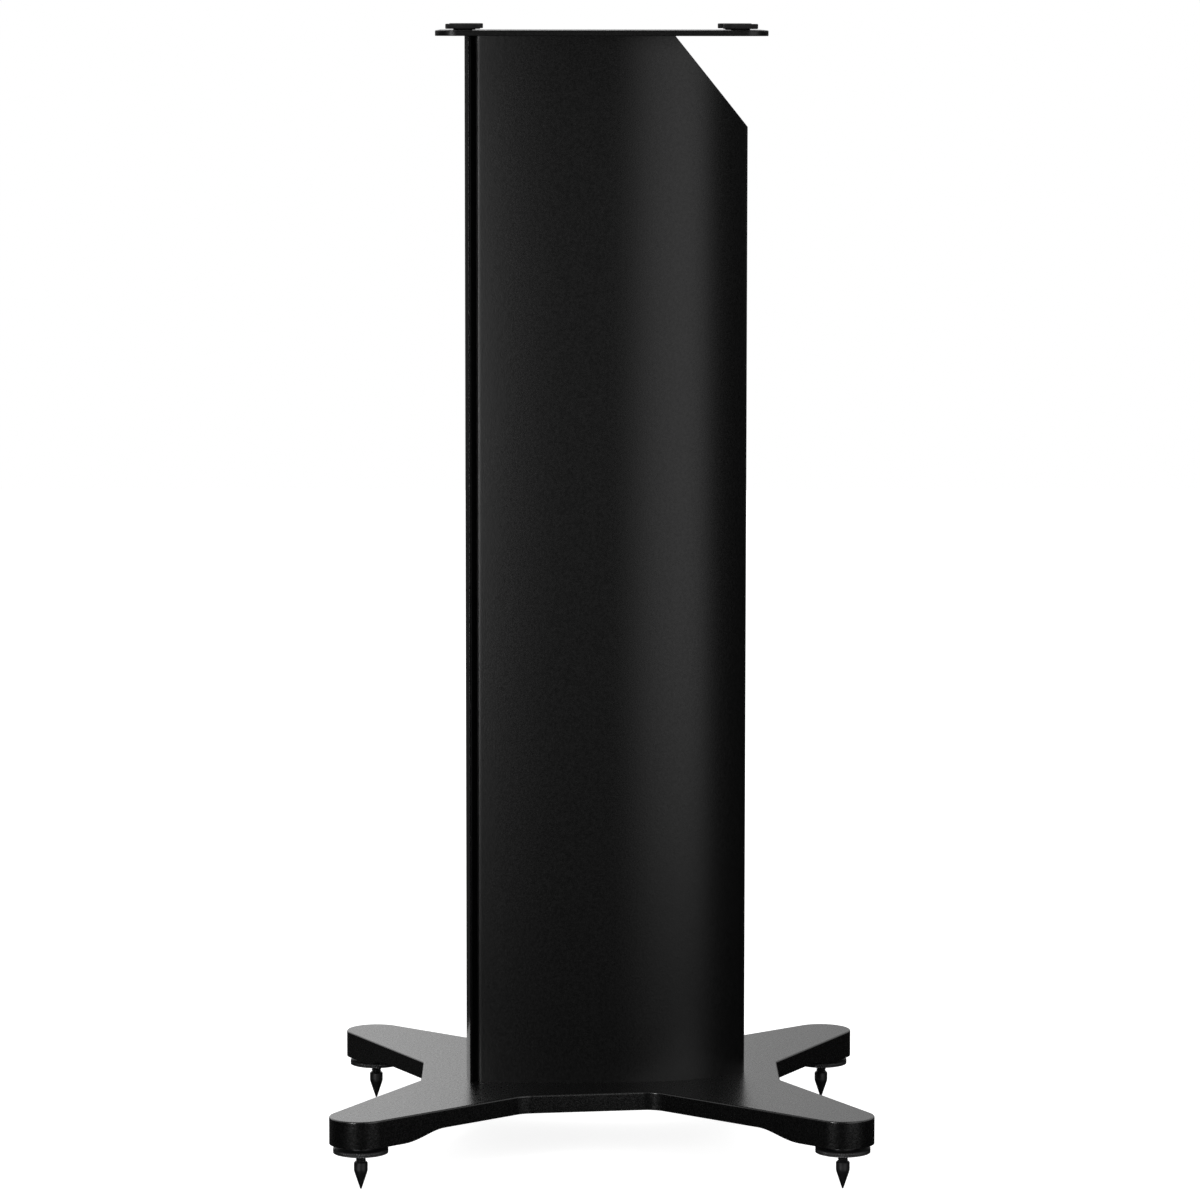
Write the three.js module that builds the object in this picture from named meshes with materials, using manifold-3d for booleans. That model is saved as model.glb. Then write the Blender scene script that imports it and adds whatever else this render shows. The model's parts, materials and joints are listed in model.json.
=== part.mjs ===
import * as THREE from "three";
import { mergeVertices } from "three/addons/utils/BufferGeometryUtils.js";
import Module from "manifold-3d";

// A speaker stand: an X-shaped cast plinth on four levelling spikes, a hollow
// leaf-shaped column with a cable duct, and a plate with four rubber pads.
// Millimetres. +X is the right side, -Y the front, +Z up. The origin is on the
// floor, under the middle of the four spikes.

// ---------------------------------------------------------------- clearances
const FIT_GAP = 0.3; // between a part and the hole or slot that it sits in
const ARC_ERROR = 0.05; // how far a facet may cut inside a true arc
const COLUMN_ARC_ERROR = 0.01; // finer on the long curves of the column

// -------------------------------------------------------------------- spikes
const FOOT_SPACING_X = 240; // spike to spike, side to side
const FOOT_SPACING_Y = 260; // spike to spike, front to back
const SPIKE_TIP_RADIUS = 0.5;
const SPIKE_CONE_HEIGHT = 10;
const SPIKE_BODY_RADIUS = 3.75;
const SPIKE_BODY_HEIGHT = 5;
const SPIKE_SHOULDER_CHAMFER = 0.6;
const STUD_RADIUS = 2.9; // M6 thread
const STUD_LENGTH = 18;
const STUD_CHAMFER = 0.75;
const STUD_BARE_LENGTH = 4.75; // thread that shows under the lock nut

// ----------------------------------------------------------------- lock nuts
const NUT_RADIUS = 15;
const NUT_RIM_HEIGHT = 3;
const NUT_EDGE_CHAMFER = 0.4;
const NUT_HUB_RADIUS = 9;
const NUT_HUB_HEIGHT = 2.25;

// ------------------------------------------------------------ thread inserts
const INSERT_RADIUS = 4.5;
const INSERT_LENGTH = 12;
const INSERT_POCKET_EXTRA = 0.5; // pocket depth left above the insert

// -------------------------------------------------------------------- plinth
const PLINTH_THICKNESS = 10;
const FOOT_PAD_THICKNESS = 15; // at the arm ends, over the spikes
const FOOT_PAD_RADIUS = 23; // full thickness out to here from the spike
const FOOT_PAD_BLEND = 25; // length of the S-curve from pad to arm
const BLEND_STEPS = 8; // facets along the S-curve
const ARM_END_RADIUS = 17;
const END_FLAT_Y = 100; // front and rear flats between the arms
const END_FLAT_HALF_WIDTH = 25;
const SIDE_FLAT_FRONT_X = 68.5; // the side flats run inward towards the rear
const SIDE_FLAT_FRONT_Y = -43;
const SIDE_FLAT_REAR_X = 58;
const SIDE_FLAT_REAR_Y = 29.5;
const END_CORNER_RADIUS = 3;
const SIDE_CORNER_RADIUS = 15;
const PLINTH_TOP_EDGE = 0.75; // rounding of the plinth's upper and lower edges
const FOOT_PAD_EDGE = 1.5; // rounding under the arm ends

// -------------------------------------------------------------------- column
const COLUMN_HEIGHT = 578;
const COLUMN_FRONT_Y = -67.5; // front face of the column, behind the shadow gap
const COLUMN_HALF_WIDTH = 33.4; // at the widest, along the flat
const COLUMN_SIDE_BOW = 2.4; // how much further in the front edges are
const COLUMN_FLAT_Y = -18; // the sides are flat from here back to Y = 0
const COLUMN_TAIL_RADIUS = 160; // of the first of the two arcs behind the flat
const COLUMN_TAIL_TURN = 14; // degrees that the first arc turns through
const COLUMN_REAR_Y = 80.75;
const COLUMN_NOSE_RADIUS = 8; // rounded rear edge
const COLUMN_WALL = 2.75;
const COLUMN_FRONT_WALL = 7; // thick enough for the dovetail
const COLUMN_WEB = 3;
const MIDDLE_WEB_Y = -16; // centre of the web that splits the front chamber
const DUCT_WEB_Y = 29; // centre of the web in front of the cable duct
const TONGUE_STEP = 6; // from the front edges in to the raised seat of the trim
const TONGUE_HEIGHT = 3.75; // the seat's height, which is the depth of the shadow gap
const PORT_WALL = 2.75; // round the screw ports
const FRONT_PORT_Y = -50;
const REAR_PORT_Y = 17;
const CUT_LENGTH_Y = 40.5; // cable entry: the cut-off corner, measured on the top
const CUT_LENGTH_Z = 50; // and down the rear edge
const EXIT_Y = 48; // cable exit: a slot through the plinth, under the cable duct
const EXIT_WIDTH = 16;
const EXIT_LENGTH = 24; // front to back, over its round ends

// ---------------------------------------------------------------- front trim
const TRIM_EDGE_THICKNESS = 1.25;
const TRIM_CROWN = 2.5; // how far the face bows forward between its edges
const DOVETAIL_ROOT_HALF_WIDTH = 7;
const DOVETAIL_END_HALF_WIDTH = 9;
const DOVETAIL_DEPTH = 3.5;

// ----------------------------------------------------------------- top plate
const PLATE_LENGTH = 180; // front to back
const PLATE_WIDTH = 126;
const PLATE_THICKNESS = 3;
const PLATE_CORNER_RADIUS = 12;
const PLATE_EDGE = 0.4;

// ---------------------------------------------------------------------- pads
const PAD_RADIUS = 9.5;
const PAD_DISC_HEIGHT = 2.75;
const PAD_EDGE = 0.35;
const PAD_NECK_RADIUS = 5.25;
const PAD_NECK_HEIGHT = 0.75;
const PAD_SPIGOT_RADIUS = 3;
const PAD_SPIGOT_LENGTH = 2.75;
const PAD_INSET = 5.5; // from the pad's edge to the plate's edge

// -------------------------------------------------------------------- screws
const SCREW_RADIUS = 2.85; // M6
const SCREW_GRIP = 12; // length held in the column's ports
const BUTTON_HEAD_RADIUS = 5.25;
const BUTTON_HEAD_HEIGHT = 3.25;
const FLAT_HEAD_LAND = 0.1; // plate left under the countersink
const HEX_SOCKET_RADIUS = 2.3; // across corners
const HEX_SOCKET_DEPTH = 1.75;
const WASHER_RADIUS = 6;
const WASHER_THICKNESS = 1.5;

// ---------------------------------------------------------- derived positions
const SHOULDER_Z = SPIKE_CONE_HEIGHT + SPIKE_BODY_HEIGHT;
const NUT_Z = SHOULDER_Z + STUD_BARE_LENGTH;
const FOOT_PAD_Z = NUT_Z + NUT_RIM_HEIGHT + NUT_HUB_HEIGHT;
const PLINTH_TOP_Z = FOOT_PAD_Z + FOOT_PAD_THICKNESS;
const PLINTH_BOTTOM_Z = PLINTH_TOP_Z - PLINTH_THICKNESS;
const PLATE_Z = PLINTH_TOP_Z + COLUMN_HEIGHT;
const COLUMN_FRONT_HALF_WIDTH = COLUMN_HALF_WIDTH - COLUMN_SIDE_BOW;
const TONGUE_HALF_WIDTH = COLUMN_FRONT_HALF_WIDTH - TONGUE_STEP;
const TRIM_HALF_WIDTH = COLUMN_FRONT_HALF_WIDTH;
const TRIM_BACK_Y = COLUMN_FRONT_Y - TONGUE_HEIGHT;
const TRIM_EDGE_Y = TRIM_BACK_Y - TRIM_EDGE_THICKNESS;
const TRIM_FRONT_Y = TRIM_EDGE_Y - TRIM_CROWN;
const PLATE_TOP_Z = PLATE_Z + PLATE_THICKNESS;
const PORT_RADIUS = SCREW_RADIUS + FIT_GAP;
const STUD_BORE_RADIUS = STUD_RADIUS + FIT_GAP;
const PAD_X = PLATE_WIDTH / 2 - PAD_INSET - PAD_RADIUS;
const PAD_Y = PLATE_LENGTH / 2 - PAD_INSET - PAD_RADIUS;
const SIDES = [
  { name: "left", x: -1 },
  { name: "right", x: 1 },
];
const ENDS = [
  { name: "front", y: -1 },
  { name: "rear", y: 1 },
];

const wasm = await Module();
wasm.setup();

// ------------------------------------------------------------------ materials
const satinBlack = new THREE.MeshStandardMaterial({ color: 0x17181a, roughness: 0.45, metalness: 0.1 });
const trimBlack = new THREE.MeshStandardMaterial({ color: 0x0d0d0e, roughness: 0.35, metalness: 0.1 });
const blackSteel = new THREE.MeshStandardMaterial({ color: 0x1b1b1c, roughness: 0.35, metalness: 0.8 });
const zincSteel = new THREE.MeshStandardMaterial({ color: 0x8d9094, roughness: 0.4, metalness: 1 });
const brass = new THREE.MeshStandardMaterial({ color: 0xb08d4a, roughness: 0.4, metalness: 1 });
const rubber = new THREE.MeshStandardMaterial({ color: 0x151515, roughness: 0.9, metalness: 0 });

// -------------------------------------------------------------------- helpers

// A closed geometry as a solid that can be joined and cut.
function solidOf(geometry) {
  const bare = geometry.index ? geometry.toNonIndexed() : geometry.clone();
  bare.deleteAttribute("normal");
  bare.deleteAttribute("uv");
  const merged = mergeVertices(bare, 1e-4);
  return new wasm.Manifold(
    new wasm.Mesh({
      numProp: 3,
      vertProperties: merged.attributes.position.array,
      triVerts: new Uint32Array(merged.index.array),
    }),
  );
}

function geometryOf(solid) {
  const mesh = solid.getMesh();
  const stride = mesh.numProp;
  const positions = new Float32Array(mesh.numVert * 3);
  for (let i = 0; i < mesh.numVert; i++) {
    positions.set(mesh.vertProperties.subarray(i * stride, i * stride + 3), i * 3);
  }
  const geometry = new THREE.BufferGeometry();
  geometry.setAttribute("position", new THREE.BufferAttribute(positions, 3));
  geometry.setIndex(new THREE.BufferAttribute(new Uint32Array(mesh.triVerts), 1));
  const faceted = geometry.toNonIndexed();
  faceted.computeVertexNormals();
  return faceted;
}

function named(name, geometry, material) {
  const mesh = new THREE.Mesh(geometry, material);
  mesh.name = name;
  return mesh;
}

function join(...solids) {
  return solids.reduce((whole, solid) => whole.add(solid));
}

function cut(whole, ...tools) {
  return tools.reduce((left, tool) => left.subtract(tool), whole);
}

function stepsFor(radius, sweep, error = ARC_ERROR) {
  return Math.max(2, Math.ceil(Math.abs(sweep) / (2 * Math.acos(1 - error / radius))));
}

// Points along an arc, in radians, with both ends.
function arc(centre, radius, from, to, error = ARC_ERROR) {
  const steps = stepsFor(radius, to - from, error);
  return Array.from({ length: steps + 1 }, (_, i) => {
    const angle = from + ((to - from) * i) / steps;
    return new THREE.Vector2(centre.x + radius * Math.cos(angle), centre.y + radius * Math.sin(angle));
  });
}

// A closed outline with each corner rounded to its own radius.
function roundedOutline(corners) {
  return corners.flatMap((corner, i) => {
    const here = new THREE.Vector2(corner.x, corner.y);
    if (!corner.radius) return [here];
    const before = corners[(i + corners.length - 1) % corners.length];
    const after = corners[(i + 1) % corners.length];
    const back = new THREE.Vector2(before.x, before.y).sub(here).normalize();
    const ahead = new THREE.Vector2(after.x, after.y).sub(here).normalize();
    const half = Math.acos(THREE.MathUtils.clamp(back.dot(ahead), -1, 1)) / 2;
    const centre = back.clone().add(ahead).normalize();
    centre.multiplyScalar(corner.radius / Math.sin(half)).add(here);
    const reach = corner.radius / Math.tan(half);
    const start = here.clone().addScaledVector(back, reach).sub(centre).angle();
    const end = here.clone().addScaledVector(ahead, reach).sub(centre).angle();
    const sweep = THREE.MathUtils.euclideanModulo(end - start + Math.PI, 2 * Math.PI) - Math.PI;
    return arc(centre, corner.radius, start, start + sweep);
  });
}

// An outline in X and Y raised from z, with its upper and lower edges rounded.
function prism(outline, z, height, edge = 0) {
  const geometry = new THREE.ExtrudeGeometry(new THREE.Shape(outline), {
    depth: height - 2 * edge,
    bevelEnabled: edge > 0,
    bevelThickness: edge,
    bevelSize: edge,
    bevelOffset: -edge,
    bevelSegments: 1,
  });
  return geometry.translate(0, 0, z + edge);
}

// A profile of [radius, z] points, from axis to axis, turned about Z.
function turned(profile, largestRadius) {
  const points = profile.map(([radius, z]) => new THREE.Vector2(radius, z));
  const geometry = new THREE.LatheGeometry(points, stepsFor(largestRadius, 2 * Math.PI));
  return geometry.rotateX(Math.PI / 2);
}

function cylinder(radius, x, y, z, height) {
  const profile = [
    [0, z],
    [radius, z],
    [radius, z + height],
    [0, z + height],
  ];
  return turned(profile, radius).translate(x, y, 0);
}

function box(minX, maxX, minY, maxY, minZ, maxZ) {
  const geometry = new THREE.BoxGeometry(maxX - minX, maxY - minY, maxZ - minZ);
  return geometry.translate((minX + maxX) / 2, (minY + maxY) / 2, (minZ + maxZ) / 2);
}

// --------------------------------------------------------------------- plinth

// Direction from a point along the tangent to a circle, passing on its left (1) or right (-1).
function tangentDirection(point, centre, radius, side) {
  const toCentre = centre.clone().sub(point);
  const swing = Math.asin(radius / toCentre.length());
  return toCentre.normalize().rotateAround(new THREE.Vector2(), side * swing);
}

function crossing(p, along, q, across) {
  const t = q.clone().sub(p).cross(across) / along.cross(across);
  return p.clone().addScaledVector(along, t);
}

// The corner whose rounding is the arm's end: its sides touch a circle round the spike.
function armCorner(foot, before, after) {
  const arriving = tangentDirection(before, foot, ARM_END_RADIUS, -1);
  const leaving = tangentDirection(after, foot, ARM_END_RADIUS, 1);
  const corner = crossing(before, arriving, after, leaving);
  return { x: corner.x, y: corner.y, radius: ARM_END_RADIUS };
}

// Counter-clockwise from the front flat, first up the right side and then down the left.
function plinthOutline() {
  const right = [
    { x: END_FLAT_HALF_WIDTH, y: -END_FLAT_Y, radius: END_CORNER_RADIUS },
    { x: SIDE_FLAT_FRONT_X, y: SIDE_FLAT_FRONT_Y, radius: SIDE_CORNER_RADIUS },
    { x: SIDE_FLAT_REAR_X, y: SIDE_FLAT_REAR_Y, radius: SIDE_CORNER_RADIUS },
    { x: END_FLAT_HALF_WIDTH, y: END_FLAT_Y, radius: END_CORNER_RADIUS },
  ];
  const at = ({ x, y }) => new THREE.Vector2(x, y);
  const frontFoot = new THREE.Vector2(FOOT_SPACING_X / 2, -FOOT_SPACING_Y / 2);
  const rearFoot = new THREE.Vector2(FOOT_SPACING_X / 2, FOOT_SPACING_Y / 2);
  const frontArm = armCorner(frontFoot, at(right[0]), at(right[1]));
  const rearArm = armCorner(rearFoot, at(right[2]), at(right[3]));
  const side = [right[0], frontArm, right[1], right[2], rearArm, right[3]];
  const mirrored = side.map((corner) => ({ ...corner, x: -corner.x })).reverse();
  return roundedOutline([...side, ...mirrored]);
}

// The thick round pad over a spike, which falls away to the arm in an S-curve.
function footPadForm() {
  const rise = FOOT_PAD_THICKNESS - PLINTH_THICKNESS;
  const blend = Array.from({ length: BLEND_STEPS + 1 }, (_, i) => {
    const t = i / BLEND_STEPS;
    return [FOOT_PAD_RADIUS + FOOT_PAD_BLEND * t, FOOT_PAD_Z + (rise * (1 - Math.cos(Math.PI * t))) / 2];
  });
  const below = FOOT_PAD_Z - 1;
  const middle = PLINTH_BOTTOM_Z + PLINTH_THICKNESS / 2;
  const profile = [[0, below], [FOOT_PAD_RADIUS, below], ...blend];
  profile.push([FOOT_PAD_RADIUS + FOOT_PAD_BLEND, middle], [0, middle]);
  return turned(profile, FOOT_PAD_RADIUS);
}

// A round-ended slot through the plinth, as cables leave the foot of the column.
function cableExit() {
  const radius = EXIT_WIDTH / 2;
  const reach = EXIT_LENGTH / 2 - radius;
  const outline = [
    ...arc({ x: 0, y: EXIT_Y + reach }, radius, 0, Math.PI),
    ...arc({ x: 0, y: EXIT_Y - reach }, radius, Math.PI, 2 * Math.PI),
  ];
  return prism(outline, PLINTH_BOTTOM_Z - 1, PLINTH_THICKNESS + 2);
}

function makePlinth() {
  const outline = plinthOutline();
  const slab = solidOf(prism(outline, PLINTH_BOTTOM_Z, PLINTH_THICKNESS, PLINTH_TOP_EDGE));
  const deep = solidOf(prism(outline, FOOT_PAD_Z, FOOT_PAD_THICKNESS, FOOT_PAD_EDGE));
  const footPads = eachFoot(({ x, y }) => solidOf(footPadForm().translate(x, y, 0)));
  const pocketDepth = INSERT_LENGTH + INSERT_POCKET_EXTRA;
  const pockets = eachFoot(({ x, y }) =>
    solidOf(cylinder(INSERT_RADIUS + FIT_GAP, x, y, FOOT_PAD_Z - 1, pocketDepth + 1)),
  );
  const screwHoles = eachPort(({ x, y }) =>
    solidOf(cylinder(PORT_RADIUS, x, y, PLINTH_BOTTOM_Z - 1, PLINTH_THICKNESS + 2)),
  );
  const body = join(slab, deep.intersect(join(...footPads)));
  return cut(body, ...pockets, ...screwHoles, solidOf(cableExit()));
}

// ----------------------------------------------------------------------- feet

function eachFoot(make) {
  return ENDS.flatMap((end) =>
    SIDES.map((side) =>
      make({
        name: `${end.name}_${side.name}`,
        x: (side.x * FOOT_SPACING_X) / 2,
        y: (end.y * FOOT_SPACING_Y) / 2,
      }),
    ),
  );
}

function spikeGeometry() {
  const top = SHOULDER_Z + STUD_LENGTH;
  return turned(
    [
      [0, 0],
      [SPIKE_TIP_RADIUS, 0],
      [SPIKE_BODY_RADIUS, SPIKE_CONE_HEIGHT],
      [SPIKE_BODY_RADIUS, SHOULDER_Z - SPIKE_SHOULDER_CHAMFER],
      [SPIKE_BODY_RADIUS - SPIKE_SHOULDER_CHAMFER, SHOULDER_Z],
      [STUD_RADIUS, SHOULDER_Z],
      [STUD_RADIUS, top - STUD_CHAMFER],
      [STUD_RADIUS - STUD_CHAMFER, top],
      [0, top],
    ],
    SPIKE_BODY_RADIUS,
  );
}

function lockNutGeometry() {
  const rimTop = NUT_Z + NUT_RIM_HEIGHT;
  const profile = [
    [STUD_BORE_RADIUS, NUT_Z],
    [NUT_RADIUS - NUT_EDGE_CHAMFER, NUT_Z],
    [NUT_RADIUS, NUT_Z + NUT_EDGE_CHAMFER],
    [NUT_RADIUS, rimTop - NUT_EDGE_CHAMFER],
    [NUT_RADIUS - NUT_EDGE_CHAMFER, rimTop],
    [NUT_HUB_RADIUS, rimTop],
    [NUT_HUB_RADIUS, FOOT_PAD_Z],
    [STUD_BORE_RADIUS, FOOT_PAD_Z],
    [STUD_BORE_RADIUS, NUT_Z],
  ];
  return turned(profile, NUT_RADIUS);
}

function insertGeometry() {
  const profile = [
    [STUD_BORE_RADIUS, FOOT_PAD_Z],
    [INSERT_RADIUS, FOOT_PAD_Z],
    [INSERT_RADIUS, FOOT_PAD_Z + INSERT_LENGTH],
    [STUD_BORE_RADIUS, FOOT_PAD_Z + INSERT_LENGTH],
    [STUD_BORE_RADIUS, FOOT_PAD_Z],
  ];
  return turned(profile, INSERT_RADIUS);
}

function makeFoot({ name, x, y }) {
  const foot = new THREE.Group();
  foot.position.set(x, y, 0);
  foot.add(named(`spike_${name}`, spikeGeometry(), blackSteel));
  foot.add(named(`lock_nut_${name}`, lockNutGeometry(), blackSteel));
  foot.add(named(`thread_insert_${name}`, insertGeometry(), brass));
  return foot;
}

// --------------------------------------------------------------------- column

// The arc that leaves another at an angle and ends by touching the rounded rear edge from
// outside it. Its centre lies on the first arc's last radius.
function closingArc(leaving, angle, nose) {
  const inward = new THREE.Vector2(-Math.cos(angle), -Math.sin(angle));
  const toNose = nose.clone().sub(leaving);
  const reach = COLUMN_NOSE_RADIUS;
  const radius = (toNose.lengthSq() - reach ** 2) / (2 * (toNose.dot(inward) - reach));
  const centre = leaving.clone().addScaledVector(inward, radius);
  return { centre, radius, end: nose.clone().sub(centre).angle() };
}

// The leaf-shaped section, drawn in by an even amount. Its sides bow out from the front edges
// to the flat, then curve in along two arcs to touch the rounded rear edge.
function columnOutline(inset) {
  const bowLength = COLUMN_FLAT_Y - COLUMN_FRONT_Y;
  const sideRadius = (bowLength ** 2 + COLUMN_SIDE_BOW ** 2) / (2 * COLUMN_SIDE_BOW);
  const sideCentre = new THREE.Vector2(COLUMN_HALF_WIDTH - sideRadius, COLUMN_FLAT_Y);
  const frontAngle = Math.asin((inset - bowLength) / (sideRadius - inset));
  const tailCentre = new THREE.Vector2(COLUMN_HALF_WIDTH - COLUMN_TAIL_RADIUS, 0);
  const tailAngle = THREE.MathUtils.degToRad(COLUMN_TAIL_TURN);
  const alongRadius = new THREE.Vector2(Math.cos(tailAngle), Math.sin(tailAngle));
  const leaving = tailCentre.clone().addScaledVector(alongRadius, COLUMN_TAIL_RADIUS);
  const noseCentre = new THREE.Vector2(0, COLUMN_REAR_Y - COLUMN_NOSE_RADIUS);
  const closing = closingArc(leaving, tailAngle, noseCentre);
  const curve = (centre, radius, from, to) => arc(centre, radius - inset, from, to, COLUMN_ARC_ERROR);
  const side = curve(sideCentre, sideRadius, frontAngle, 0);
  const tail = curve(tailCentre, COLUMN_TAIL_RADIUS, 0, tailAngle).slice(0, -1);
  const rear = curve(closing.centre, closing.radius, tailAngle, closing.end).slice(0, -1);
  const nose = curve(noseCentre, COLUMN_NOSE_RADIUS, closing.end, Math.PI - closing.end);
  const right = [...side, ...tail, ...rear];
  const left = right.map((point) => new THREE.Vector2(-point.x, point.y)).reverse();
  return [...right, ...nose, ...left];
}

function columnHalfWidthAt(y) {
  const points = columnOutline(0).filter((point) => point.x > 0);
  const next = points.findIndex((point) => point.y > y);
  const before = points[next - 1];
  const t = (y - before.y) / (points[next].y - before.y);
  return before.x + t * (points[next].x - before.x);
}

// The screw ports run the column's whole height, in the corners of its two chambers.
function eachPort(make) {
  return [
    { name: "front", y: FRONT_PORT_Y },
    { name: "rear", y: REAR_PORT_Y },
  ].flatMap((end) =>
    SIDES.map((side) =>
      make({
        name: `${end.name}_${side.name}`,
        x: side.x * (columnHalfWidthAt(end.y) - COLUMN_WALL - PORT_RADIUS),
        y: end.y,
      }),
    ),
  );
}

// A dovetail in the front face, grown by a gap for its slot.
function dovetail(gap) {
  const outline = [
    [-DOVETAIL_ROOT_HALF_WIDTH - gap, TRIM_BACK_Y - gap],
    [DOVETAIL_ROOT_HALF_WIDTH + gap, TRIM_BACK_Y - gap],
    [DOVETAIL_END_HALF_WIDTH + gap, TRIM_BACK_Y + DOVETAIL_DEPTH + gap],
    [-DOVETAIL_END_HALF_WIDTH - gap, TRIM_BACK_Y + DOVETAIL_DEPTH + gap],
  ];
  return outline.map(([x, y]) => new THREE.Vector2(x, y));
}

// The corner cut off the top at the rear, a wedge across the whole width.
function cableEntry() {
  const margin = 5;
  const slope = CUT_LENGTH_Z / CUT_LENGTH_Y;
  const wedge = new THREE.Shape([
    new THREE.Vector2(COLUMN_REAR_Y - CUT_LENGTH_Y - margin, PLATE_Z + margin * slope),
    new THREE.Vector2(COLUMN_REAR_Y + margin, PLATE_Z - CUT_LENGTH_Z - margin * slope),
    new THREE.Vector2(COLUMN_REAR_Y + margin, PLATE_Z + margin * slope),
  ]);
  const geometry = new THREE.ExtrudeGeometry(wedge, { depth: 3 * COLUMN_HALF_WIDTH, bevelEnabled: false });
  geometry.translate(0, 0, -1.5 * COLUMN_HALF_WIDTH);
  // The wedge is drawn in Y and Z and extruded along X.
  return geometry.applyMatrix4(new THREE.Matrix4().set(0, 0, 1, 0, 1, 0, 0, 0, 0, 1, 0, 0, 0, 0, 0, 1));
}

function makeColumn() {
  const z = PLINTH_TOP_Z;
  const full = (outline) => solidOf(prism(outline, z, COLUMN_HEIGHT));
  const tall = (outline) => solidOf(prism(outline, z - 1, COLUMN_HEIGHT + 2));
  const wide = COLUMN_HALF_WIDTH + 1;
  const band = (minY, maxY) => solidOf(box(-wide, wide, minY, maxY, z - 2, PLATE_Z + 2));

  const front = columnOutline(0)[0];
  const body = full(columnOutline(0));
  const tongue = solidOf(
    box(-TONGUE_HALF_WIDTH, TONGUE_HALF_WIDTH, TRIM_BACK_Y, front.y + 1, z, PLATE_Z),
  );
  const webs = [MIDDLE_WEB_Y, DUCT_WEB_Y].map((y) => band(y - COLUMN_WEB / 2, y + COLUMN_WEB / 2));
  const frontWall = band(COLUMN_FRONT_Y, TRIM_BACK_Y + COLUMN_FRONT_WALL);
  const ports = eachPort(({ x, y }) =>
    solidOf(cylinder(PORT_RADIUS + PORT_WALL, x, y, z - 1, COLUMN_HEIGHT + 2)),
  );
  const bores = eachPort(({ x, y }) => solidOf(cylinder(PORT_RADIUS, x, y, z - 1, COLUMN_HEIGHT + 2)));
  const chambers = cut(tall(columnOutline(COLUMN_WALL)), ...webs, frontWall, ...ports);
  return cut(
    join(body, tongue),
    chambers,
    ...bores,
    tall(dovetail(FIT_GAP)),
    solidOf(cableEntry()),
  );
}

// ----------------------------------------------------------------- front trim

// A strip with a bowed face and a dovetail rib that slides down the column's slot.
function makeTrim() {
  const bow = TRIM_EDGE_Y - TRIM_FRONT_Y;
  const radius = (TRIM_HALF_WIDTH ** 2 + bow ** 2) / (2 * bow);
  const centre = { x: 0, y: TRIM_FRONT_Y + radius };
  const swing = Math.asin(TRIM_HALF_WIDTH / radius);
  const face = [
    ...arc(centre, radius, -Math.PI / 2 - swing, -Math.PI / 2 + swing),
    new THREE.Vector2(TRIM_HALF_WIDTH, TRIM_BACK_Y),
    new THREE.Vector2(-TRIM_HALF_WIDTH, TRIM_BACK_Y),
  ];
  const strip = solidOf(prism(face, PLINTH_TOP_Z, COLUMN_HEIGHT));
  const rib = dovetail(0);
  const overlap = (TRIM_BACK_Y - TRIM_EDGE_Y) / 2;
  rib[0].y -= overlap;
  rib[1].y -= overlap;
  return join(strip, solidOf(prism(rib, PLINTH_TOP_Z, COLUMN_HEIGHT)));
}

// ------------------------------------------------------------------ top plate

function eachPad(make) {
  return ENDS.flatMap((end) =>
    SIDES.map((side) => make({ name: `${end.name}_${side.name}`, x: side.x * PAD_X, y: end.y * PAD_Y })),
  );
}

// The rim and the root of a 90 degree countersunk head, as deep as the plate allows.
function flatHead(gap) {
  const depth = PLATE_THICKNESS - FLAT_HEAD_LAND;
  return [
    [SCREW_RADIUS + depth + gap, PLATE_TOP_Z],
    [SCREW_RADIUS + gap, PLATE_TOP_Z - depth],
  ];
}

function makePlate() {
  const corner = (x, y) => ({
    x: (x * PLATE_WIDTH) / 2,
    y: (y * PLATE_LENGTH) / 2,
    radius: PLATE_CORNER_RADIUS,
  });
  const outline = roundedOutline([corner(1, -1), corner(1, 1), corner(-1, 1), corner(-1, -1)]);
  const plate = solidOf(prism(outline, PLATE_Z, PLATE_THICKNESS, PLATE_EDGE));
  const padHoles = eachPad(({ x, y }) =>
    solidOf(cylinder(PAD_SPIGOT_RADIUS + FIT_GAP, x, y, PLATE_Z - 1, PLATE_THICKNESS + 2)),
  );
  const screwHoles = eachPort(({ x, y }) => {
    const [rim, root] = flatHead(FIT_GAP);
    const below = PLATE_Z - 1;
    const above = PLATE_TOP_Z + 1;
    const profile = [[0, below], [root[0], below], root, rim, [rim[0], above], [0, above]];
    return solidOf(turned(profile, rim[0]).translate(x, y, 0));
  });
  return cut(plate, ...padHoles, ...screwHoles);
}

function padGeometry() {
  const discZ = PLATE_TOP_Z + PAD_NECK_HEIGHT;
  const top = discZ + PAD_DISC_HEIGHT;
  return turned(
    [
      [0, PLATE_TOP_Z - PAD_SPIGOT_LENGTH],
      [PAD_SPIGOT_RADIUS, PLATE_TOP_Z - PAD_SPIGOT_LENGTH],
      [PAD_SPIGOT_RADIUS, PLATE_TOP_Z],
      [PAD_NECK_RADIUS, PLATE_TOP_Z],
      [PAD_NECK_RADIUS, discZ],
      [PAD_RADIUS - PAD_EDGE, discZ],
      [PAD_RADIUS, discZ + PAD_EDGE],
      [PAD_RADIUS, top - PAD_EDGE],
      [PAD_RADIUS - PAD_EDGE, top],
      [0, top],
    ],
    PAD_RADIUS,
  );
}

// --------------------------------------------------------------------- screws

// A hexagon that reaches one socket's depth to either side of a head's face at z.
function hexSocket(z) {
  const socket = new THREE.CylinderGeometry(HEX_SOCKET_RADIUS, HEX_SOCKET_RADIUS, 2 * HEX_SOCKET_DEPTH, 6);
  return solidOf(socket.rotateX(Math.PI / 2).translate(0, 0, z));
}

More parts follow.
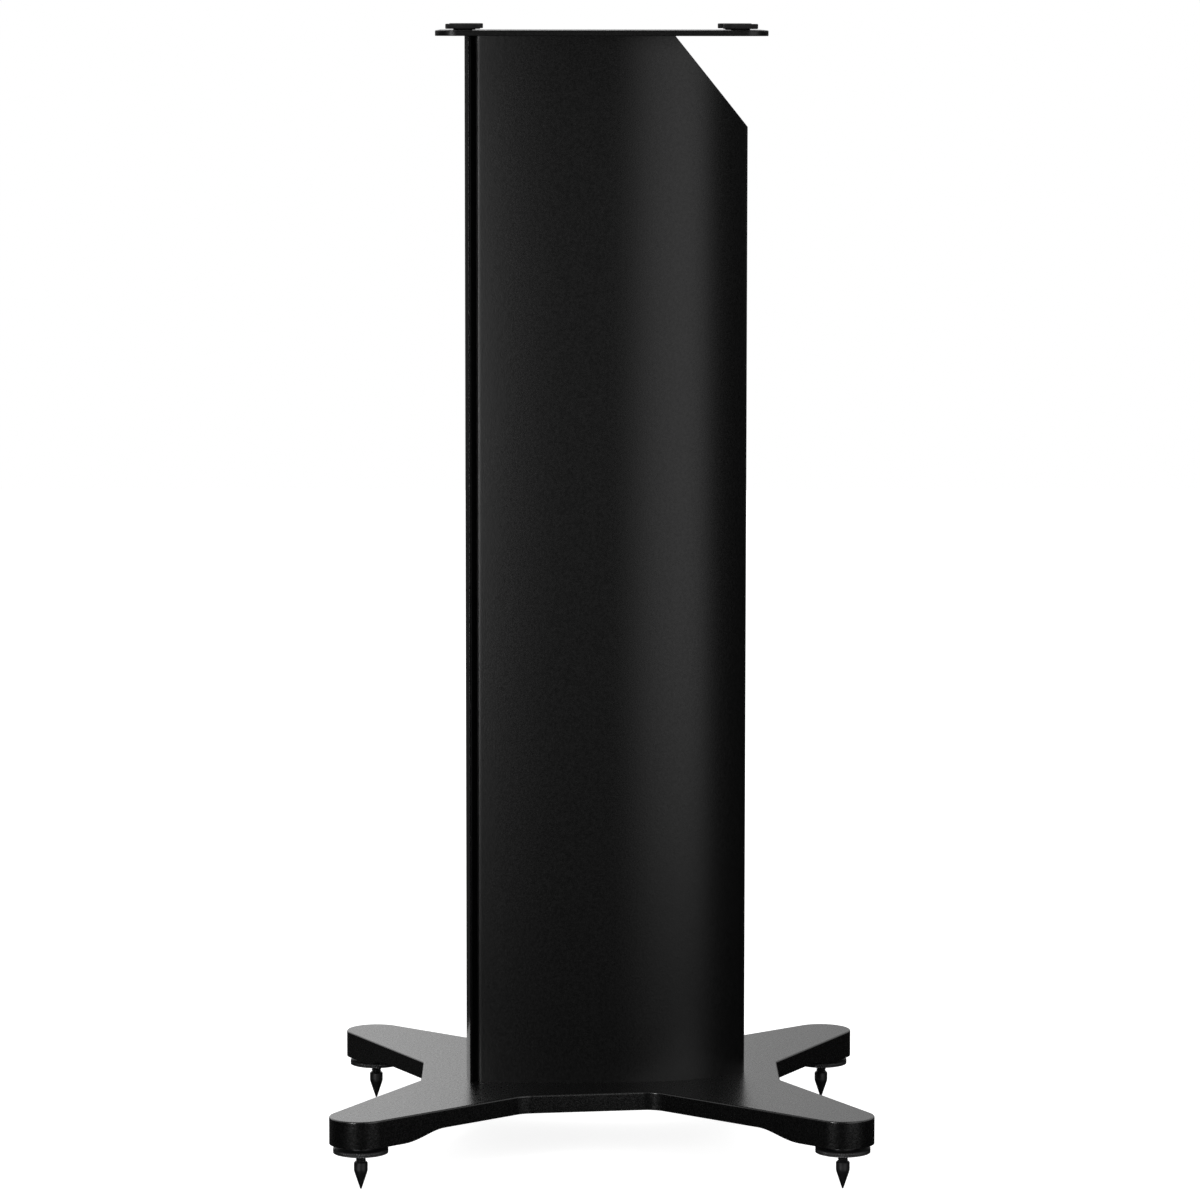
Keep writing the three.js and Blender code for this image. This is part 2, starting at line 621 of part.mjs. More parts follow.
// Up through the plinth and its washer into the foot of the column.
function baseScrewGeometry() {
  const seat = PLINTH_BOTTOM_Z - WASHER_THICKNESS;
  const bottom = seat - BUTTON_HEAD_HEIGHT;
  const dome = BUTTON_HEAD_HEIGHT / 2;
  const profile = [
    [0, bottom],
    [BUTTON_HEAD_RADIUS - dome, bottom],
    [BUTTON_HEAD_RADIUS, bottom + dome],
    [BUTTON_HEAD_RADIUS, seat],
    [SCREW_RADIUS, seat],
    [SCREW_RADIUS, PLINTH_TOP_Z + SCREW_GRIP],
    [0, PLINTH_TOP_Z + SCREW_GRIP],
  ];
  return geometryOf(cut(solidOf(turned(profile, BUTTON_HEAD_RADIUS)), hexSocket(bottom)));
}

// Down through the countersunk plate into the top of the column.
function plateScrewGeometry() {
  const [rim, root] = flatHead(0);
  const tip = PLATE_Z - SCREW_GRIP;
  const profile = [[0, tip], [SCREW_RADIUS, tip], root, rim, [0, PLATE_TOP_Z]];
  return geometryOf(cut(solidOf(turned(profile, rim[0])), hexSocket(PLATE_TOP_Z)));
}

function washerGeometry() {
  const bottom = PLINTH_BOTTOM_Z - WASHER_THICKNESS;
  const profile = [
    [PORT_RADIUS, bottom],
    [WASHER_RADIUS, bottom],
    [WASHER_RADIUS, PLINTH_BOTTOM_Z],
    [PORT_RADIUS, PLINTH_BOTTOM_Z],
    [PORT_RADIUS, bottom],
  ];
  return turned(profile, WASHER_RADIUS);
}

function makeFasteners({ name, x, y }) {
  const set = new THREE.Group();
  set.position.set(x, y, 0);
  set.add(named(`base_screw_${name}`, baseScrewGeometry(), zincSteel));
  set.add(named(`base_washer_${name}`, washerGeometry(), zincSteel));
  set.add(named(`plate_screw_${name}`, plateScrewGeometry(), blackSteel));
  return set;
}

function makePad({ name, x, y }) {
  const pad = named(`speaker_pad_${name}`, padGeometry(), rubber);
  pad.position.set(x, y, 0);
  return pad;
}

// ------------------------------------------------------------------- assembly
const stand = new THREE.Group();
stand.add(named("base_plinth", geometryOf(makePlinth()), satinBlack));
stand.add(...eachFoot(makeFoot));
stand.add(named("column_shell", geometryOf(makeColumn()), satinBlack));
stand.add(named("front_trim", geometryOf(makeTrim()), trimBlack));
stand.add(named("top_plate", geometryOf(makePlate()), satinBlack));
stand.add(...eachPad(makePad));
stand.add(...eachPort(makeFasteners));

export default stand;
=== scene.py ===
"""A speaker stand in satin black: a leaf-shaped column on an X-shaped plinth with four spikes.

Metres. +X is the right side, -Y the front, +Z up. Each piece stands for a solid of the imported
frame and takes its place from it. The photograph's view looks along -X.
"""

import json
import math

import bmesh
import bpy
from mathutils import Matrix, Vector

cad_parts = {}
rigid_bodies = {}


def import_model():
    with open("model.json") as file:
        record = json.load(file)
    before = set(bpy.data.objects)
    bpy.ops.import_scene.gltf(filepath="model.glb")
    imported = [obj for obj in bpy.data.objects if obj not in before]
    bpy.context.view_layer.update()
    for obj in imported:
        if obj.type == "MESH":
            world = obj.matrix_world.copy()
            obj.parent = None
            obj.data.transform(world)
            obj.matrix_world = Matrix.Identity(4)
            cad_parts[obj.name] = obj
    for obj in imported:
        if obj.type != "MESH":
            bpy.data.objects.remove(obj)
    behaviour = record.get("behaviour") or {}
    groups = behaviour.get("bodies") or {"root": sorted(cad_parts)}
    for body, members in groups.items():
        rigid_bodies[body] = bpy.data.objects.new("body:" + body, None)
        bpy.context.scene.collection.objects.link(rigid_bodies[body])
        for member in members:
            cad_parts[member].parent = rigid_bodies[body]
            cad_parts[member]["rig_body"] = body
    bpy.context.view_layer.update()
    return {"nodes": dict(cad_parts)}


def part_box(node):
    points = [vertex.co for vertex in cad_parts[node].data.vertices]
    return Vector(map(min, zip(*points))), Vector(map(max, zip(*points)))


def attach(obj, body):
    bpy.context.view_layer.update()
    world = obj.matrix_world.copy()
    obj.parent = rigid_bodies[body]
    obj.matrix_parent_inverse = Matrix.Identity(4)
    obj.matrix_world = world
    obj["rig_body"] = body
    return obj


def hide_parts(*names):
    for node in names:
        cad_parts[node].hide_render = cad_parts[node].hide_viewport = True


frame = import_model()

ENDS = ("front", "rear")
SIDES = ("left", "right")
CORNERS = [f"{end}_{side}" for end in ENDS for side in SIDES]

# ------------------------------------------------------------------ photograph's camera
CAMERA_PLACE = (2.9, -0.0222, 0.6337)
CAMERA_TURN = 0.4316  # degrees from straight along -X towards the rear
CAMERA_PITCH = -6.4472
CAMERA_ROLL = 0.0434
CAMERA_LENS = 157.52  # mm
CAMERA_SENSOR = 36  # mm
CAMERA_REACH = 50  # metres

# -------------------------------------------------------------------------- finishes
# A noise's scale is in waves per metre, a relief's depth in metres.
PLINTH_BLACK = (0.0013, 0.0013, 0.00135)
COLUMN_BLACK = (0.0006, 0.0006, 0.00062)
PLATE_BLACK = (0.0012, 0.0012, 0.00122)
GRAIN_SCALE = 950  # the powder coat's fine grain
GLOSS_SCALE = 700  # patches of more and of less gloss
RIPPLE_SCALE = 260
RIPPLE_DEPTH = 0.00002
FINE_GRAIN_DEPTH = 0.00004
COARSE_GRAIN_DEPTH = 0.00007
SMOOTH_DEPTH = 0.00001
RUBBER_DEPTH = 0.00002
COAT_DARK = 0.75  # parts of the powder coat's colour in and on its grain
COAT_LIGHT = 1.3
ROUGHNESS_SPREAD = 0.04
NOISE_RANGE = (0.3, 0.7)  # most of a noise's values lie in here
COLOUR_RANGE = (0.35, 0.65)  # noise values between which the colour changes

# ---------------------------------------------------------------------- studio lights
# Two upright softboxes: the centre of each, its width and height, and its radiance.
FRONT_STRIP = (0.889, -0.538, 0.376)
FRONT_STRIP_SIZE = (0.107, 0.54)
FRONT_STRIP_RADIANCE = 17.5
REAR_STRIP = (0.738, 0.566, 0.425)
REAR_STRIP_SIZE = (0.716, 0.84)
REAR_STRIP_RADIANCE = 1.09
FILL_LEVEL = 0.6  # the plain light that falls on diffuse surfaces from all round
# Gloss sees a studio of its own. Its levels change between two values of X, Y or Z of the
# direction, which is one long.
GLOSS_FRONT = 0.004  # behind the photograph's camera
GLOSS_BEHIND = 1.0  # behind the stand
GLOSS_DEPTH = (0.0, -0.9)  # X from the one to the other
GLOSS_BELOW = 0.02  # part of it that is left below the horizon
GLOSS_HORIZON = (0.0, 0.18)  # Z from below to above
GLOSS_TURN = 0.08  # Y, to the left and right of straight behind
GLOSS_SIDES = (1.42, 0.5)  # parts of it on the left and right of that
GLOSS_HIGH_LEVEL = 0.6  # a higher sky, which the tops show in views along the stand
GLOSS_HIGH = (0.1, 0.26)  # Z at which it starts and is full
GLOSS_HIGH_SIDES = (0.45, 0.0)  # and X
FLOOR_DROP = 0.0002  # the floor lies this far below the spikes' tips
FLOOR_HALF_SIZE = 4
FLOOR_COLOUR = (0.8, 0.8, 0.8)
FLOOR_ROUGHNESS = 0.9
FLOOR_GLOW = 0.85

# -------------------------------------------------------------------------- column
COLUMN_SIDE_BOW = 0.0024  # how much further in the front edges are than the flat
COLUMN_FLAT_Y = -0.018  # the sides are flat from here back to Y = 0
COLUMN_TAIL_RADIUS = 0.16  # of the first of the two arcs behind the flat
COLUMN_TAIL_TURN = 14  # degrees that the first arc turns through
COLUMN_NOSE_RADIUS = 0.008
COLUMN_FRONT_EDGE = 0.0003  # rounding of the long front corners
SEAT_EDGE_STEP = 30  # degrees between the points of the seat's rounding
FRONT_EDGE_STEP = 22.5  # and of the front corners' own
COLUMN_WALL = 0.00275
COLUMN_FRONT_WALL = 0.007
COLUMN_WEB = 0.003
WEB_CENTRES = (-0.016, 0.029)
TONGUE_HEIGHT = 0.00375
TONGUE_STEP = 0.006
PORT_WALL = 0.00275
PORT_RADIUS = 0.00315
CUT_LENGTH_Y = 0.0405  # the part of the top that the cable entry takes away
CUT_LENGTH_Z = 0.05  # and of the rear edge

# ---------------------------------------------------------------------- front trim
TRIM_EDGE_THICKNESS = 0.00125
TRIM_CROWN = 0.0025
TRIM_EDGE = 0.00015  # rounding of its long edges
DOVETAIL_ROOT_HALF_WIDTH = 0.007
DOVETAIL_END_HALF_WIDTH = 0.009
DOVETAIL_DEPTH = 0.0035
FIT_GAP = 0.0003

# -------------------------------------------------------------------------- plinth
ARM_END_RADIUS = 0.017
END_FLAT_Y = 0.1
END_FLAT_HALF_WIDTH = 0.025
SIDE_FLAT_FRONT = (0.0685, -0.043)
SIDE_FLAT_REAR = (0.058, 0.0295)
END_CORNER_RADIUS = 0.003
SIDE_CORNER_RADIUS = 0.015
PLINTH_THICKNESS = 0.01
FOOT_PAD_RADIUS = 0.023
FOOT_PAD_BLEND = 0.025
FOOT_PAD_POINTS = 20  # of the blend's S-curve
PLINTH_TOP_EDGE = 0.0009
PLINTH_LOWER_EDGE = 0.0013
EXIT_Y = 0.048  # cable exit: a round-ended slot under the duct
EXIT_WIDTH = 0.016
EXIT_LENGTH = 0.024
POCKET_SPACE = 0.0005  # left above each insert

# ------------------------------------------------------------------------ top plate
PLATE_CORNER_RADIUS = 0.012
PLATE_EDGE = 0.0004
PLATE_LAND = 0.0001  # plate left under the countersinks
PAD_EDGE = 0.0005
PAD_SPIGOT_RADIUS = 0.003
PAD_NECK_RADIUS = 0.00525
PAD_NECK_HEIGHT = 0.00075

# --------------------------------------------------------------------- spikes and nuts
SPIKE_CONE_HEIGHT = 0.01
SPIKE_TIP_RADIUS = 0.0004
SPIKE_SHOULDER_CHAMFER = 0.0006
SPIKE_SHOULDER_Z = 0.015
CONE_BLEND_RADIUS = 0.006  # where the cone runs into the spike's body
STUD_RADIUS = 0.0029
STUD_CHAMFER = 0.00075
THREAD_PITCH = 0.001
THREAD_DEPTH = 0.0006
NUT_RIM_HEIGHT = 0.003
NUT_HUB_RADIUS = 0.009
NUT_CHAMFER = 0.0003
NUT_FACE_INSET = 0.0012  # the rim's flat faces end this far inside its knurl
KNURL_TEETH = 68
KNURL_RISE = 0.0024  # height of one diamond
KNURL_DEPTH = 0.00035
KNURL_ROWS = 8  # of points in one diamond's height
KNURL_COLUMNS = 4  # and in its width
THREAD_ROWS = 4  # in one turn of the thread

# ------------------------------------------------------------------------------ screws
SCREW_RADIUS = 0.00285
HEX_SOCKET_RADIUS = 0.0023
HEX_SOCKET_DEPTH = 0.00175
BUTTON_HEAD_RADIUS = 0.00525
BUTTON_HEAD_HEIGHT = 0.00325
BUTTON_DOME = 0.00195  # radius of the head's rounding
BUTTON_DOME_STEP = 9
SMALL_CHAMFER = 0.0002

# ------------------------------------------------------------------------- meshing
ARC_STEP = 3.0  # degrees between the points of a short arc
LONG_ARC_STEP = 0.75  # of the column's tail
BOW_STEP = 0.15  # of its bow
CROWN_STEP = 0.25  # of the trim's front
TURNED_STEPS = 96  # in a full turn, where nothing else is given
FOOT_PAD_STEPS = 120
SMALL_STEPS = 64  # of spikes, inserts, washers and screws
BOSS_STEPS = 48  # of the screw ports' bosses and the inserts' pockets
HOLE_STEPS = 32
SHARP_ANGLE = 40  # degrees at which an edge is rounded
CREASE_ANGLE = 30  # at which shading breaks
FLAT_ANGLE = 0.05  # below which two faces become one
OVERSHOOT = 0.001  # how far a cutting solid reaches past what it cuts
SAME_POINT = 1e-7  # points nearer to each other than this are one
ON_LINE = 1e-6  # a point nearer to a line than this lies on it
ON_FACE = 1e-5  # and nearer to a face than this


# ---------------------------------------------------------------------------- tools


class Outline:
    """A line in the XY plane, drawn by extruding and turning its last point."""

    def __init__(self, x, y):
        self.bm = bmesh.new()
        self.end = self.bm.verts.new((x, y, 0))

    def line(self, x, y):
        made = bmesh.ops.extrude_vert_indiv(self.bm, verts=[self.end])
        self.end = made["verts"][0]
        self.end.co = (x, y, 0)
        return self

    def arc(self, x, y, degrees, step=ARC_STEP):
        """Turns the last point about (x, y), counter-clockwise if degrees is positive."""
        made = bmesh.ops.spin(
            self.bm,
            geom=[self.end],
            cent=(x, y, 0),
            axis=(0, 0, 1),
            dvec=(0, 0, 0),
            angle=math.radians(degrees),
            steps=max(2, math.ceil(abs(degrees) / step)),
            use_merge=False,
        )
        self.end = next(g for g in made["geom_last"] if isinstance(g, bmesh.types.BMVert))
        return self

    def corner(self, before, corner, after, radius):
        """A line to a corner's rounding, and round it."""
        back = (Vector(before) - Vector(corner)).normalized()
        ahead = (Vector(after) - Vector(corner)).normalized()
        half = back.angle(ahead) / 2
        start = Vector(corner) + back * (radius / math.tan(half))
        centre = Vector(corner) + (back + ahead).normalized() * (radius / math.sin(half))
        turn = math.degrees(math.pi - 2 * half)
        left = (-back).cross(ahead) > 0
        self.line(*start)
        return self.arc(*centre, turn if left else -turn)

    def mirrored(self):
        """Adds the other half, across the YZ plane."""
        bmesh.ops.mirror(
            self.bm,
            geom=self.bm.verts[:] + self.bm.edges[:],
            matrix=Matrix.Identity(4),
            merge_dist=ON_LINE,
            axis="X",
        )
        return self

    def raised(self, low, high):
        """The closed line as a solid between two heights."""
        bm = self.bm
        bmesh.ops.remove_doubles(bm, verts=bm.verts, dist=SAME_POINT)
        bmesh.ops.edgeloop_fill(bm, edges=bm.edges)
        bmesh.ops.translate(bm, verts=bm.verts, vec=(0, 0, low))
        made = bmesh.ops.extrude_face_region(bm, geom=bm.faces[:])
        top = [g for g in made["geom"] if isinstance(g, bmesh.types.BMVert)]
        bmesh.ops.translate(bm, verts=top, vec=(0, 0, high - low))
        bmesh.ops.recalc_face_normals(bm, faces=bm.faces)
        return bm

    def turned(self, steps=TURNED_STEPS):
        """The line, read as (radius, height), spun about Z."""
        bm = self.bm
        upright = Matrix.Rotation(math.radians(90), 3, "X")
        bmesh.ops.rotate(bm, verts=bm.verts, cent=(0, 0, 0), matrix=upright)
        bmesh.ops.spin(
            bm,
            geom=bm.verts[:] + bm.edges[:],
            cent=(0, 0, 0),
            axis=(0, 0, 1),
            dvec=(0, 0, 0),
            angle=2 * math.pi,
            steps=steps,
            use_merge=True,
        )
        bmesh.ops.remove_doubles(bm, verts=bm.verts, dist=SAME_POINT)
        bmesh.ops.recalc_face_normals(bm, faces=bm.faces)
        return bm


def place(bm, at):
    """Moves a solid made at the origin to stand at a point's X and Y."""
    bmesh.ops.translate(bm, verts=bm.verts, vec=(at.x, at.y, 0))
    return bm


def link(name, bm):
    """The bmesh as an object of the scene, with smooth faces and sharp edges."""
    mesh = bpy.data.meshes.new(name)
    bm.to_mesh(mesh)
    bm.free()
    mesh.shade_smooth()
    mesh.set_sharp_from_angle(angle=math.radians(CREASE_ANGLE))
    made = bpy.data.objects.new(name, mesh)
    bpy.context.scene.collection.objects.link(made)
    return made


def cut(base, tool):
    """The bmesh base without what the bmesh tool takes up. Both are used up."""
    body = link("body", base)
    other = link("tool", tool)
    modifier = body.modifiers.new("cut", "BOOLEAN")
    modifier.operation = "DIFFERENCE"
    modifier.solver = "EXACT"
    modifier.object = other
    bpy.context.view_layer.update()
    result = body.evaluated_get(bpy.context.evaluated_depsgraph_get())
    bm = bmesh.new()
    bm.from_mesh(result.to_mesh())
    for used in (body, other):
        mesh = used.data
        bpy.data.objects.remove(used)
        bpy.data.meshes.remove(mesh)
    bmesh.ops.remove_doubles(bm, verts=bm.verts, dist=SAME_POINT)
    bmesh.ops.dissolve_degenerate(bm, edges=bm.edges, dist=SAME_POINT)
    flat = math.radians(FLAT_ANGLE)
    bmesh.ops.dissolve_limit(bm, angle_limit=flat, verts=bm.verts, edges=bm.edges)
    return bm


def bevel(bm, edges, offset):
    bmesh.ops.bevel(
        bm,
        geom=list(edges),
        offset=offset,
        offset_type="OFFSET",
        segments=3,
        profile=0.5,
        affect="EDGES",
        material=-1,
        clamp_overlap=True,
    )


def sharp_edges(bm):
    sharp = math.radians(SHARP_ANGLE)
    joined = [edge for edge in bm.edges if len(edge.link_faces) == 2]
    return [edge for edge in joined if edge.calc_face_angle() > sharp]


def block(low, high):
    """A box between two corners, used to cut others."""
    bm = bmesh.new()
    bmesh.ops.create_cube(bm, size=1)
    size = Vector(high) - Vector(low)
    bmesh.ops.scale(bm, verts=bm.verts, vec=size)
    bmesh.ops.translate(bm, verts=bm.verts, vec=(Vector(low) + Vector(high)) / 2)
    return bm


def rod(radius, low, high, steps):
    """A cylinder on the Z axis, used to cut others."""
    outline = Outline(0, low).line(radius, low).line(radius, high).line(0, high)
    return outline.turned(steps)


def triangle_wave(t):
    """0 at each whole number and 1 half-way between."""
    return 1 - abs(2 * (t % 1) - 1)


def engrave(bm, radius, low, high, depth_at):
    """Sinks a turned piece's skin by a depth for each part of a turn and height."""
    for vert in bm.verts:
        reach = vert.co.xy.length
        if low < vert.co.z < high and abs(reach - radius) < ON_LINE:
            turn = math.atan2(vert.co.y, vert.co.x) / (2 * math.pi)
            left = 1 - depth_at(turn, vert.co.z - low) / reach
            vert.co.x *= left
            vert.co.y *= left


def finish_piece(name, bm, node, finish, flat_weight=False):
    """The bmesh as the piece that stands for a CAD node, with the finish's material."""
    piece = link(name, bm)
    if flat_weight:
        weight = piece.modifiers.new("flat faces stay flat", "WEIGHTED_NORMAL")
        weight.keep_sharp = True
    material, slot = finish
    piece.data.materials.append(material)
    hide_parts(node)
    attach(piece, frame["nodes"][node]["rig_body"])


def middle(node):
    """The middle of the box round a CAD node."""
    low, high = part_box(node)
    return (low + high) / 2


def finish_turned(bm, node, finish):
    """A piece turned about the origin, which is moved to its node's axis."""
    finish_piece(f"{node}_dressed", place(bm, middle(node)), node, finish)


# ------------------------------------------------------------------------- materials


class Finish:
    """A Principled material whose patterns read Object coordinates."""

    def __init__(self, name, colour, roughness, metallic=0.0):
        self.material = bpy.data.materials.new(name)
        self.material.use_nodes = True
        self.nodes = self.material.node_tree.nodes
        self.links = self.material.node_tree.links
        self.surface = self.nodes["Principled BSDF"]
        self.surface.inputs["Base Color"].default_value = (*colour, 1)
        self.surface.inputs["Roughness"].default_value = roughness
        self.surface.inputs["Metallic"].default_value = metallic
        self.place = self.nodes.new("ShaderNodeTexCoord").outputs["Object"]
        self.height = None

    def noise(self, scale, detail=2.0, roughness=0.5):
        texture = self.nodes.new("ShaderNodeTexNoise")
        texture.inputs["Scale"].default_value = scale
        texture.inputs["Detail"].default_value = detail
        texture.inputs["Roughness"].default_value = roughness
        self.links.new(self.place, texture.inputs["Vector"])
        return texture.outputs["Fac"]

    def vary_roughness(self, pattern, low, high):
        spread = self.nodes.new("ShaderNodeMapRange")
        spread.inputs["From Min"].default_value = NOISE_RANGE[0]
        spread.inputs["From Max"].default_value = NOISE_RANGE[1]
        spread.inputs["To Min"].default_value = low
        spread.inputs["To Max"].default_value = high
        self.links.new(pattern, spread.inputs["Value"])
        self.links.new(spread.outputs["Result"], self.surface.inputs["Roughness"])

    def vary_colour(self, pattern, dark, light):
        ramp = self.nodes.new("ShaderNodeValToRGB")
        ramp.color_ramp.elements[0].position = COLOUR_RANGE[0]
        ramp.color_ramp.elements[0].color = (*dark, 1)
        ramp.color_ramp.elements[1].position = COLOUR_RANGE[1]
        ramp.color_ramp.elements[1].color = (*light, 1)
        self.links.new(pattern, ramp.inputs["Fac"])
        self.links.new(ramp.outputs["Color"], self.surface.inputs["Base Color"])

    def bump(self, pattern, depth):
        """Adds a relief of that depth in metres to those the finish has."""
        node = self.nodes.new("ShaderNodeBump")
        node.inputs["Distance"].default_value = depth
        self.links.new(pattern, node.inputs["Height"])
        if self.height is not None:
            self.links.new(self.height, node.inputs["Normal"])
        self.height = node.outputs["Normal"]
        self.links.new(self.height, self.surface.inputs["Normal"])


def satin_powder_coat(name, colour, roughness, grain, gloss=0.5):
    """Fine-textured black paint: a small-scale grain over a faint orange peel."""
    finish = Finish(name, colour, roughness)
    finish.surface.inputs["Specular IOR Level"].default_value = gloss
    fine = finish.noise(GRAIN_SCALE, detail=3, roughness=0.6)
    dark = [c * COAT_DARK for c in colour]
    light = [c * COAT_LIGHT for c in colour]
    finish.vary_colour(fine, dark, light)
    smoothest = roughness - ROUGHNESS_SPREAD
    roughest = roughness + ROUGHNESS_SPREAD
    finish.vary_roughness(finish.noise(GLOSS_SCALE), smoothest, roughest)
    finish.bump(finish.noise(RIPPLE_SCALE), RIPPLE_DEPTH)
    finish.bump(fine, grain)
    return finish.material


def satin_paint(name):
    finish = Finish(name, (0.0015, 0.0015, 0.0016), 0.2)
    finish.vary_roughness(finish.noise(600), 0.18, 0.23)
    finish.bump(finish.noise(1500), SMOOTH_DEPTH)
    return finish.material


def black_oxide(name):
    finish = Finish(name, (0.14, 0.14, 0.142), 0.42, metallic=1.0)
    finish.vary_roughness(finish.noise(GLOSS_SCALE, detail=3), 0.36, 0.5)
    finish.bump(finish.noise(2500), SMOOTH_DEPTH)
    return finish.material


def zinc_plate(name):
    finish = Finish(name, (0.55, 0.56, 0.57), 0.3, metallic=1.0)
    finish.vary_roughness(finish.noise(500, detail=3), 0.26, 0.4)
    finish.vary_colour(finish.noise(300), (0.5, 0.51, 0.53), (0.62, 0.62, 0.62))
    return finish.material


def turned_brass(name):
    finish = Finish(name, (0.62, 0.42, 0.16), 0.3, metallic=1.0)
    finish.vary_roughness(finish.noise(800, detail=3), 0.25, 0.4)
    return finish.material


def black_rubber(name):
    finish = Finish(name, (0.009, 0.009, 0.009), 0.7)
    finish.vary_roughness(finish.noise(900), 0.64, 0.78)
    finish.bump(finish.noise(1800, detail=3), RUBBER_DEPTH)
    return finish.material


# Each finish is a material and the name of its slot in the record.
PLINTH_FINISH = (
    satin_powder_coat("plinth_powder_coat", PLINTH_BLACK, 0.265, COARSE_GRAIN_DEPTH, gloss=1.0),
    "plinth_satin_black",
)
COLUMN_FINISH = (
    satin_powder_coat("column_powder_coat", COLUMN_BLACK, 0.367, FINE_GRAIN_DEPTH),
    "column_satin_black",
)
PLATE_FINISH = (
    satin_powder_coat("plate_powder_coat", PLATE_BLACK, 0.36, FINE_GRAIN_DEPTH),
    "plate_satin_black",
)
TRIM_FINISH = (satin_paint("trim_satin_paint"), "trim_black")
STEEL_FINISH = (black_oxide("black_oxide_steel"), "steel_black")
ZINC_FINISH = (zinc_plate("zinc_plated_steel"), "steel_zinc")
BRASS_FINISH = (turned_brass("turned_brass"), "brass")
RUBBER_FINISH = (black_rubber("pad_rubber"), "rubber_black")


# ---------------------------------------------------------------------------- column


def arc_radius(half_chord, rise):
    """The radius of an arc that rises so much over half its chord."""
    return (half_chord**2 + rise**2) / (2 * rise)


def leaf_arcs():
    """The bow's centre and radius, and each arc's centre and end in degrees behind it."""
    low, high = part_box("column_shell")
    half_width = high.x
    bow_length = COLUMN_FLAT_Y - low.y - TONGUE_HEIGHT
    bow_radius = arc_radius(bow_length, COLUMN_SIDE_BOW)
    turn = math.radians(COLUMN_TAIL_TURN)
    along = Vector((math.cos(turn), math.sin(turn)))
    tail = Vector((half_width - COLUMN_TAIL_RADIUS, 0))
    leaving = tail + along * COLUMN_TAIL_RADIUS
    nose = Vector((0, high.y - COLUMN_NOSE_RADIUS))
    back = leaving - nose
    # The last arc leaves along the same radius and touches the nose from outside.
    reach = 2 * (back.dot(along) - COLUMN_NOSE_RADIUS)
    closing_radius = (back.length_squared - COLUMN_NOSE_RADIUS**2) / reach
    closing = leaving - along * closing_radius
    to_nose = nose - closing
    end = math.degrees(math.atan2(to_nose.y, to_nose.x))
    bow = (half_width - bow_radius, COLUMN_FLAT_Y, bow_radius)
    rear = ((*tail, COLUMN_TAIL_TURN), (*closing, end), (*nose, 90))
    return bow, rear


def add_leaf_side(outline, inset, start_y):
    """Round the section, drawn in by inset, from start_y to the middle of the nose."""
    (x, y, radius), rear = leaf_arcs()
    start = math.degrees(math.asin((start_y - y) / (radius - inset)))
    outline.line(x + (radius - inset) * math.cos(math.radians(start)), start_y)
    outline.arc(x, y, -start, BOW_STEP)
    outline.line(x + radius - inset, 0)
    start = 0
    for x, y, end in rear:
        step = ARC_STEP if end == 90 else LONG_ARC_STEP
        outline.arc(x, y, end - start, step)
        start = end
    return outline


def column_skin():
    """The outside of the column, with the raised seat and the slot for the trim."""
    low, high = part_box("column_shell")
    front_y = low.y + TONGUE_HEIGHT
    front_half = high.x - COLUMN_SIDE_BOW
    seat_half = front_half - TONGUE_STEP
    seat_y = front_y - TONGUE_HEIGHT
    slot_y = seat_y + DOVETAIL_DEPTH + FIT_GAP
    flare = DOVETAIL_END_HALF_WIDTH - DOVETAIL_ROOT_HALF_WIDTH
    slot_slope = flare / (DOVETAIL_DEPTH + 2 * FIT_GAP)
    slot_half = DOVETAIL_ROOT_HALF_WIDTH + FIT_GAP + slot_slope * FIT_GAP
    edge = COLUMN_FRONT_EDGE
    outline = Outline(0, slot_y)
    outline.line(DOVETAIL_END_HALF_WIDTH + FIT_GAP, slot_y)
    outline.line(slot_half, seat_y)
    outline.line(seat_half - edge, seat_y)
    outline.arc(seat_half - edge, seat_y + edge, 90, SEAT_EDGE_STEP)
    outline.line(seat_half, front_y)
    outline.line(front_half - edge, front_y)
    outline.arc(front_half - edge, front_y + edge, 90, FRONT_EDGE_STEP)
    # The side's bow starts a little behind the corner's rounding.
    return add_leaf_side(outline, 0, front_y + 1.5 * edge).mirrored()


def column_bore():
    """The inside of the column's wall, before the webs divide it."""
    low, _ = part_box("column_shell")
    wall_y = low.y + COLUMN_FRONT_WALL
    return add_leaf_side(Outline(0, wall_y), COLUMN_WALL, wall_y).mirrored()


def cut_corner_off(bm):
    """The cable entry: a slanting plane that takes away the top's rear corner."""
    _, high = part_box("column_shell")
    on_top = Vector((0, high.y - CUT_LENGTH_Y, high.z))
    away = Vector((0, CUT_LENGTH_Z, CUT_LENGTH_Y)).normalized()
    made = bmesh.ops.bisect_plane(
        bm,
        geom=bm.verts[:] + bm.edges[:] + bm.faces[:],
        dist=SAME_POINT,
        plane_co=on_top,
        plane_no=away,
        clear_outer=True,
    )
    rim = [g for g in made["geom_cut"] if isinstance(g, bmesh.types.BMEdge)]
    bmesh.ops.triangle_fill(bm, edges=rim, use_beauty=True, use_dissolve=True, normal=away)
    bmesh.ops.recalc_face_normals(bm, faces=bm.faces)


